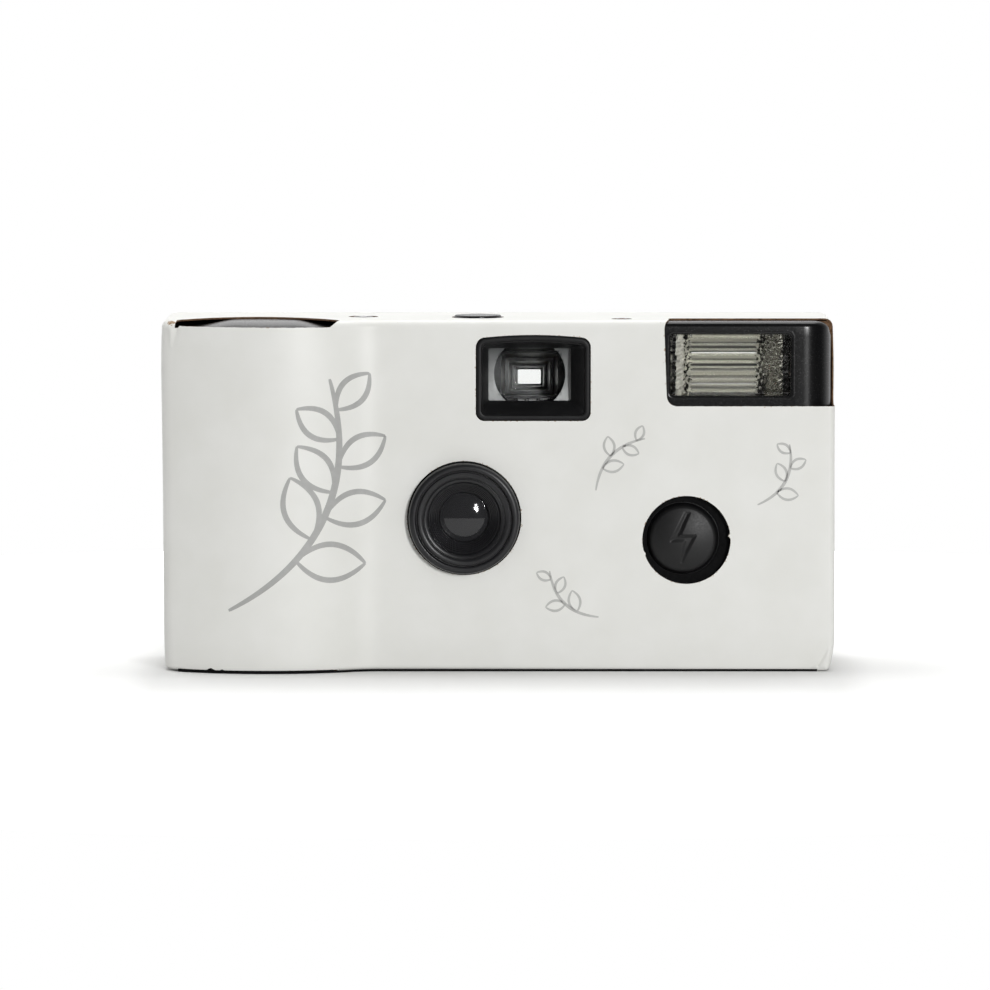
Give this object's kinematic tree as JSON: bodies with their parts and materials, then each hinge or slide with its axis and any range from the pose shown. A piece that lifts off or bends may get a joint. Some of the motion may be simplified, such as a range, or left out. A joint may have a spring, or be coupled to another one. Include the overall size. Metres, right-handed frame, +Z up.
{
  "type": "disposable film camera",
  "caption": "Single-use film camera with flash in a white card sleeve, with a thumb wheel to wind the film, a shutter button and a flash button",
  "frame": {"origin": "middle of the bounding box at the base, on the floor", "axes": "+Z up, +X to the viewer's right along the camera's width, -Y the way the lens looks"},
  "size_m": [0.117, 0.0346, 0.0614],
  "materials": {
    "coated_card": "white coated, satin",
    "casing_black": "satin moulded",
    "trim_black": "semi-gloss moulded",
    "frame_black": "matte moulded",
    "clear_acrylic": "clear polished",
    "lens_acrylic": "clear polished",
    "acetal_white": "moulded",
    "lever_grey": "moulded",
    "blade_steel": "blackened sheet",
    "spring_steel": "drawn wire",
    "cartridge_tin": "printed sheet",
    "cap_steel": "pressed",
    "spool_black": "moulded",
    "film_base": "coated film",
    "reflector_alu": "bright rolled",
    "tube_glass": "clear",
    "board_resin": "bonded paper",
    "cap_sleeve": "shrink sleeve",
    "coil_tape": "wrapped tape",
    "coil_copper": "enamelled wire",
    "chip_body": "moulded",
    "lamp_glass": "clear tinted",
    "lamp_lens": "tinted polished",
    "contact_brass": "sprung sheet",
    "tinned_wire": "tinned",
    "battery_wrap": "printed sleeve"
  },
  "bodies": {
    "camera": {"card_sleeve": "coated_card", "front_cover": "casing_black", "rear_cover": "casing_black", "main_frame": "frame_black", "lens_ring": "trim_black", "taking_lens": "lens_acrylic", "lens_plate": "frame_black", "blade_spring": "spring_steel", "striker_spring": "spring_steel", "button_spring": "spring_steel", "counter_window": "clear_acrylic", "cartridge_shell": "cartridge_tin", "cartridge_caps": "cap_steel", "film_strip": "film_base", "finder_front_lens": "clear_acrylic", "finder_tube": "frame_black", "finder_eyepiece": "clear_acrylic", "flash_lens": "clear_acrylic", "flash_reflector": "reflector_alu", "flash_tube": "tube_glass", "flash_leads": "tinned_wire", "flash_holder": "frame_black", "circuit_board": "board_resin", "capacitor": "cap_sleeve", "transformer": "coil_tape", "trigger_coil": "coil_copper", "board_parts": "chip_body", "ready_lamp": "lamp_glass", "lamp_window": "lamp_lens", "flash_contact": "contact_brass", "sync_contact": "contact_brass", "battery": "battery_wrap", "battery_contact_plus": "contact_brass", "battery_contact_minus": "contact_brass"},
    "winder": {"thumb_wheel": "casing_black", "cartridge_spool": "spool_black"},
    "sprocket": {"sprocket_wheel": "acetal_white"},
    "counter": {"counter_wheel": "acetal_white"},
    "supply": {"supply_spool": "spool_black", "film_roll": "film_base"},
    "button": {"shutter_button": "trim_black"},
    "release": {"release_lever": "lever_grey"},
    "striker": {"striker_lever": "lever_grey"},
    "blade": {"shutter_blade": "blade_steel"},
    "flash_key": {"flash_button": "trim_black"}
  },
  "joints": [
    {"name": "winder_turn", "type": "hinge", "parent": "camera", "child": "winder", "pos_m": [-0.04005, 0.00118, 0.0535], "axis": [0, 0, 1], "continuous": true},
    {"name": "sprocket_turn", "type": "hinge", "parent": "camera", "child": "sprocket", "pos_m": [-0.0195, 0.00592, 0.045], "axis": [0, 0, 1], "continuous": true},
    {"name": "counter_turn", "type": "hinge", "parent": "camera", "child": "counter", "pos_m": [-0.02945, -0.00003, 0.0577], "axis": [0, 0, 1], "continuous": true},
    {"name": "supply_turn", "type": "hinge", "parent": "camera", "child": "supply", "pos_m": [0.029, 0.00438, 0.0267], "axis": [0, 0, 1], "continuous": true},
    {"name": "shutter_press", "type": "slide", "parent": "camera", "child": "button", "axis": [0, 0, -1], "range_m": [0, 0.0012], "stiffness_N_per_m": 500, "springref_m": -0.0006, "deforming": ["button_spring"]},
    {"name": "release_turn", "type": "hinge", "parent": "camera", "child": "release", "pos_m": [-0.0132, -0.00668, 0.0458], "axis": [0, 1, 0], "range_deg": [0, 9.4]},
    {"name": "striker_swing", "type": "hinge", "parent": "camera", "child": "striker", "pos_m": [0.0022, -0.00668, 0.0405], "axis": [0, -1, 0], "range_deg": [0, 30]},
    {"name": "blade_swing", "type": "hinge", "parent": "camera", "child": "blade", "pos_m": [0.0022, -0.00668, 0.0315], "axis": [0, 1, 0], "range_deg": [0, 30]},
    {"name": "flash_press", "type": "slide", "parent": "camera", "child": "flash_key", "axis": [0, 1, 0], "range_m": [0, 0.001], "stiffness_N_per_m": 500, "springref_m": -0.0006, "deforming": ["flash_contact"]}
  ],
  "couplings": [
    {"joint": "sprocket_turn", "follows": "winder_turn", "ratio": 1.2},
    {"joint": "supply_turn", "follows": "winder_turn", "ratio": 0.89},
    {"joint": "counter_turn", "follows": "winder_turn", "ratio": -0.033333},
    {"joint": "release_turn", "follows": "shutter_press", "rad_per_m": 136.7},
    {"joint": "striker_swing", "follows": "shutter_press", "rad_per_m": 436},
    {"joint": "blade_swing", "follows": "shutter_press", "rad_per_m": 436}
  ]
}
